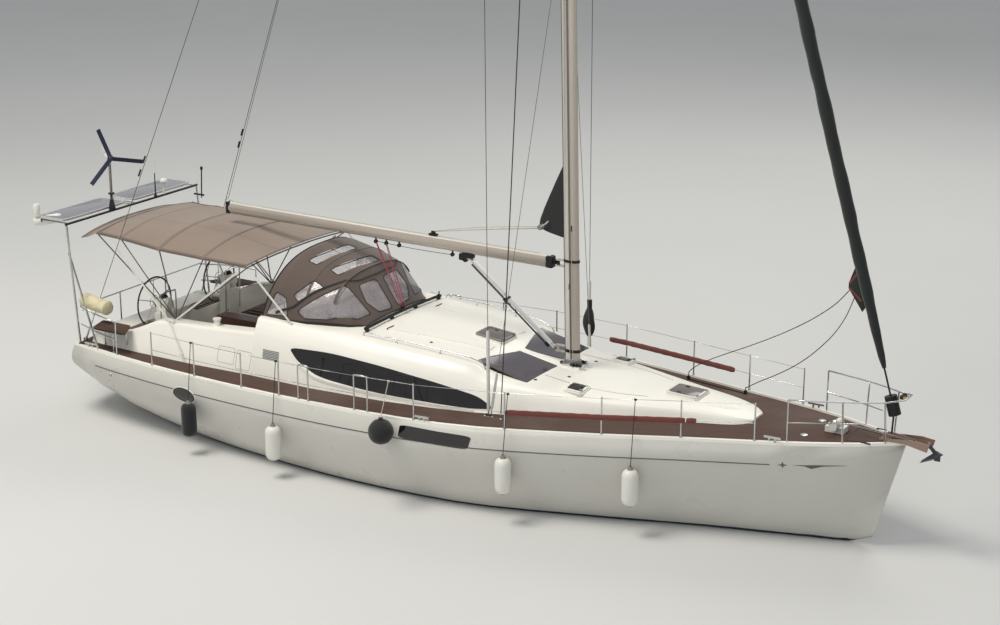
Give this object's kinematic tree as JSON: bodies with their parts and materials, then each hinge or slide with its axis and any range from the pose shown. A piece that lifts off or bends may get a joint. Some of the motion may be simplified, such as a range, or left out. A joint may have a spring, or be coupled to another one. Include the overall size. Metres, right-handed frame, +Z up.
{
  "type": "sailing yacht",
  "caption": "Cruising sailing yacht with deck saloon, in-mast mainsail, furled genoa, sprayhood, bimini, stern arch, twin wheels, keel and rudder.",
  "frame": {"origin": "on the centreline at the waterline, halfway between stem head and stern", "axes": "+X towards the bow, +Y to port, +Z up"},
  "size_m": [15.995, 5.0906, 23.81],
  "materials": {
    "hull_gelcoat": "pale warm grey gelcoat",
    "deck_gelcoat": "cream white gelcoat",
    "teak": "weathered reddish brown teak planks with dark seams",
    "dark_pane": "dark tinted acrylic",
    "stainless": "polished stainless tube and wire",
    "antifouled_iron": "dark antifouling paint on iron",
    "antifouled_blade": "dark antifouling paint on laminate",
    "bronze": "dull bronze",
    "engine_iron": "painted block",
    "spar_alloy": "warm grey anodised spar",
    "sailcloth": "near-black green acrylic cover cloth",
    "dark_fitting": "black fitting",
    "solar_glass": "lavender grey cells under glass",
    "white_plastic": "off-white plastic",
    "navy_plastic": "dark navy plastic",
    "bimini_canvas": "taupe acrylic canvas",
    "hood_canvas": "dark taupe canvas with clear panes",
    "fender_cover": "black knitted cover",
    "rope": "dark braided rope"
  },
  "bodies": {
    "yacht": {"anchor": "stainless", "backstays": "stainless", "bimini": "bimini_canvas", "bimini_frame": "stainless", "bow_roller": "stainless", "coachroof": "deck_gelcoat", "cockpit": "deck_gelcoat", "cockpit_table": "teak", "engine": "engine_iron", "fender_beam": "white_plastic", "fender_bow": "white_plastic", "fender_quarter": "white_plastic", "fender_round": "fender_cover", "fender_waist": "white_plastic", "furled_genoa": "sailcloth", "furler_drum": "dark_fitting", "genoa_sheet_aft": "rope", "genoa_sheet_fore": "rope", "guard_rail_port": "stainless", "guard_rail_starboard": "stainless", "hull": "hull_gelcoat", "keel": "antifouled_iron", "mast": "spar_alloy", "pulpit": "stainless", "roof_pane_port": "dark_pane", "roof_pane_starboard": "dark_pane", "saloon_window_port": "dark_pane", "saloon_window_starboard": "dark_pane", "shaft_strut": "bronze", "sheet_leads": "dark_fitting", "shrouds_port": "stainless", "shrouds_starboard": "stainless", "solar_panel_port": "solar_glass", "solar_panel_starboard": "solar_glass", "sprayhood": "hood_canvas", "sprayhood_frame": "stainless", "stern_arch": "stainless", "teak_deck": "teak", "toe_rail": "deck_gelcoat", "washboard": "dark_pane", "wind_pole": "stainless", "windlass": "white_plastic"},
    "gooseneck": {"gooseneck": "stainless", "vang_toggle": "stainless", "mainsail_clew": "sailcloth"},
    "boom": {"boom": "spar_alloy"},
    "vang": {"vang_tube": "spar_alloy"},
    "vang_rod": {"vang_rod": "stainless"},
    "rudder": {"rudder": "antifouled_blade"},
    "wheel_port": {"wheel_port": "stainless"},
    "wheel_starboard": {"wheel_starboard": "stainless"},
    "propeller": {"propeller": "bronze"},
    "wind_generator": {"wind_generator": "white_plastic"},
    "wind_rotor": {"wind_rotor": "navy_plastic"},
    "saloon_hatch": {"saloon_hatch": "dark_pane"},
    "fore_hatch": {"fore_hatch": "dark_pane"},
    "cabin_hatch_port": {"cabin_hatch_port": "dark_pane"},
    "cabin_hatch_starboard": {"cabin_hatch_starboard": "dark_pane"},
    "sliding_hatch": {"sliding_hatch": "deck_gelcoat"}
  },
  "joints": [
    {"name": "boom_swing", "type": "hinge", "parent": "yacht", "child": "gooseneck", "pos_m": [1.64, 0, 3.65], "axis": [0, 0, 1], "range_deg": [-75, 75]},
    {"name": "boom_lift", "type": "hinge", "parent": "gooseneck", "child": "boom", "pos_m": [1.572, 0, 3.65], "axis": [0, 1, 0], "range_deg": [0, 5]},
    {"name": "vang_pitch", "type": "hinge", "parent": "gooseneck", "child": "vang", "pos_m": [1.58, 0, 2.23], "axis": [0, 1, 0], "range_deg": [0, 2.85]},
    {"name": "vang_slide", "type": "slide", "parent": "vang", "child": "vang_rod", "axis": [-0.7832, 0, 0.6217], "range_m": [0, 0.096]},
    {"name": "rudder_turn", "type": "hinge", "parent": "yacht", "child": "rudder", "pos_m": [-5.35, 0, -1], "axis": [0, 0, 1], "range_deg": [-35, 35]},
    {"name": "wheel_port_turn", "type": "hinge", "parent": "yacht", "child": "wheel_port", "pos_m": [-6.02, 0.9, 2.06], "axis": [1, 0, 0], "range_deg": [-281, 281]},
    {"name": "wheel_starboard_turn", "type": "hinge", "parent": "yacht", "child": "wheel_starboard", "pos_m": [-6.02, -0.9, 2.06], "axis": [1, 0, 0], "range_deg": [-281, 281]},
    {"name": "propeller_spin", "type": "hinge", "parent": "yacht", "child": "propeller", "pos_m": [-4.56, 0, -0.74], "axis": [0.9903, 0, 0.1387], "continuous": true},
    {"name": "wind_yaw", "type": "hinge", "parent": "yacht", "child": "wind_generator", "pos_m": [-7.195, -0.56, 4.4], "axis": [0, 0, 1], "continuous": true},
    {"name": "wind_spin", "type": "hinge", "parent": "wind_generator", "child": "wind_rotor", "pos_m": [-7.195, -0.56, 4.47], "axis": [0.7986, -0.6018, 0], "continuous": true},
    {"name": "saloon_hatch_open", "type": "hinge", "parent": "yacht", "child": "saloon_hatch", "pos_m": [0.206, 0, 2.2847], "axis": [0, -1, 0], "range_deg": [0, 80]},
    {"name": "fore_hatch_open", "type": "hinge", "parent": "yacht", "child": "fore_hatch", "pos_m": [4.2188, 0, 1.8816], "axis": [0, 1, 0], "range_deg": [0, 80]},
    {"name": "cabin_hatch_port_open", "type": "hinge", "parent": "yacht", "child": "cabin_hatch_port", "pos_m": [2.5841, 0.8021, 1.9102], "axis": [-0.0059, 0.9955, -0.0941], "range_deg": [0, 80]},
    {"name": "cabin_hatch_starboard_open", "type": "hinge", "parent": "yacht", "child": "cabin_hatch_starboard", "pos_m": [2.5841, -0.8021, 1.9102], "axis": [0.0059, 0.9955, 0.0941], "range_deg": [0, 80]},
    {"name": "sliding_hatch_slide", "type": "slide", "parent": "yacht", "child": "sliding_hatch", "axis": [0.9996, 0, -0.0284], "range_m": [0, 0.55]}
  ],
  "couplings": [
    {"joint": "vang_pitch", "follows": "boom_lift", "ratio": 0.5613},
    {"joint": "vang_slide", "follows": "boom_lift", "m_per_rad": 1.084},
    {"joint": "wheel_port_turn", "follows": "rudder_turn", "ratio": 8},
    {"joint": "wheel_starboard_turn", "follows": "rudder_turn", "ratio": 8}
  ]
}
